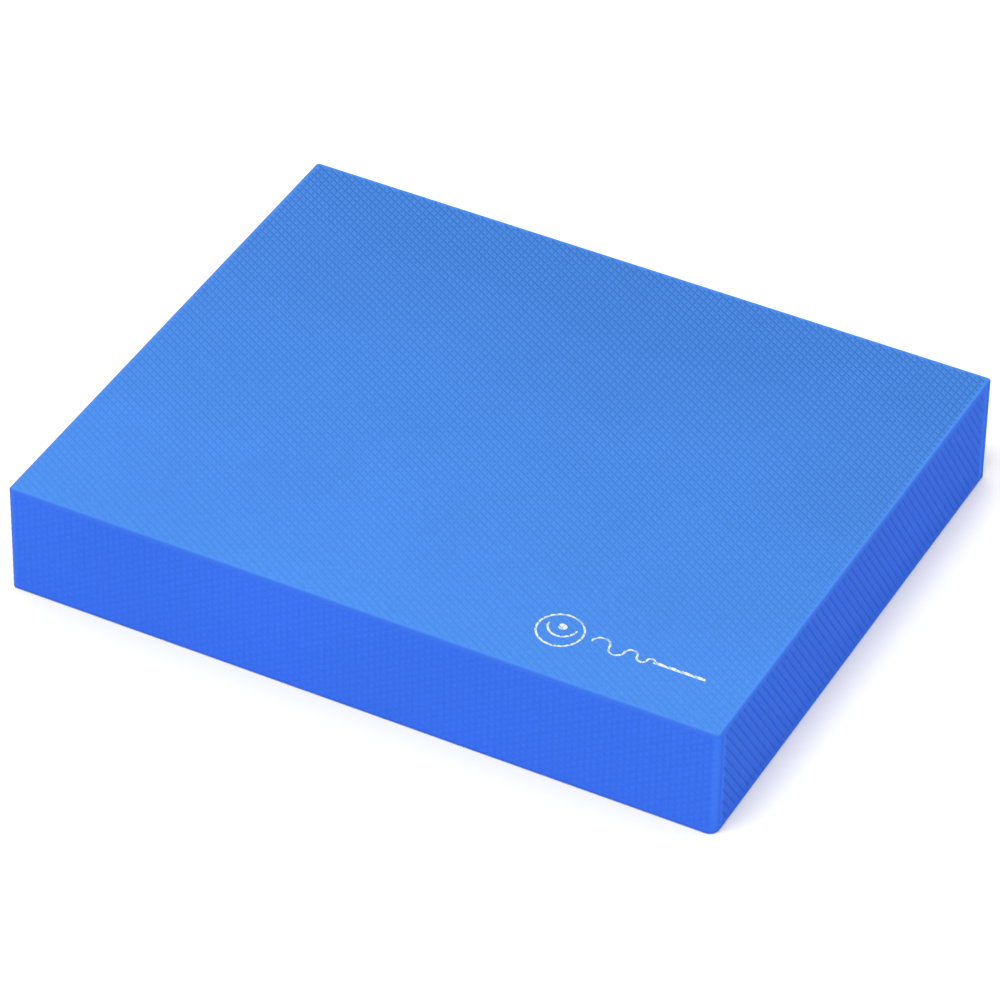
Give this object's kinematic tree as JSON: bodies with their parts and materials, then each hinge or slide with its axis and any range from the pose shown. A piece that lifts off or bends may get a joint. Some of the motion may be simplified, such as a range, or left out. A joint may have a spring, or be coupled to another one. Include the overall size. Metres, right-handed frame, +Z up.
{
  "type": "balance pad",
  "caption": "Thick rectangular foam balance pad for standing and rehabilitation exercises, laminated foam core under an embossed skin, whose top sinks and springs back under a foot.",
  "frame": {"origin": "centre of the underside, on the floor", "axes": "+Z up, X along the long side, and the side that the printed mark reads from faces -Y"},
  "size_m": [0.394, 0.318, 0.064],
  "materials": {
    "top_skin": "matte",
    "bottom_skin": "matte",
    "side_skin": "matte",
    "foam_core": "matte",
    "white_print": "satin"
  },
  "bodies": {
    "base": {"bottom_skin": "bottom_skin", "foam_sheet_1": "foam_core", "foam_sheet_2": "foam_core", "foam_sheet_3": "foam_core", "foam_sheet_4": "foam_core", "front_skin": "side_skin", "back_skin": "side_skin", "left_skin": "side_skin", "right_skin": "side_skin"},
    "top": {"foam_sheet_5": "foam_core", "top_skin": "top_skin", "printed_mark": "white_print"}
  },
  "joints": [
    {"name": "top_press", "type": "slide", "parent": "base", "child": "top", "axis": [0, 0, -1], "range_m": [0, 0.024], "stiffness_N_per_m": 40000, "deforming": ["foam_sheet_3", "foam_sheet_4", "front_skin", "back_skin", "left_skin", "right_skin"]}
  ]
}
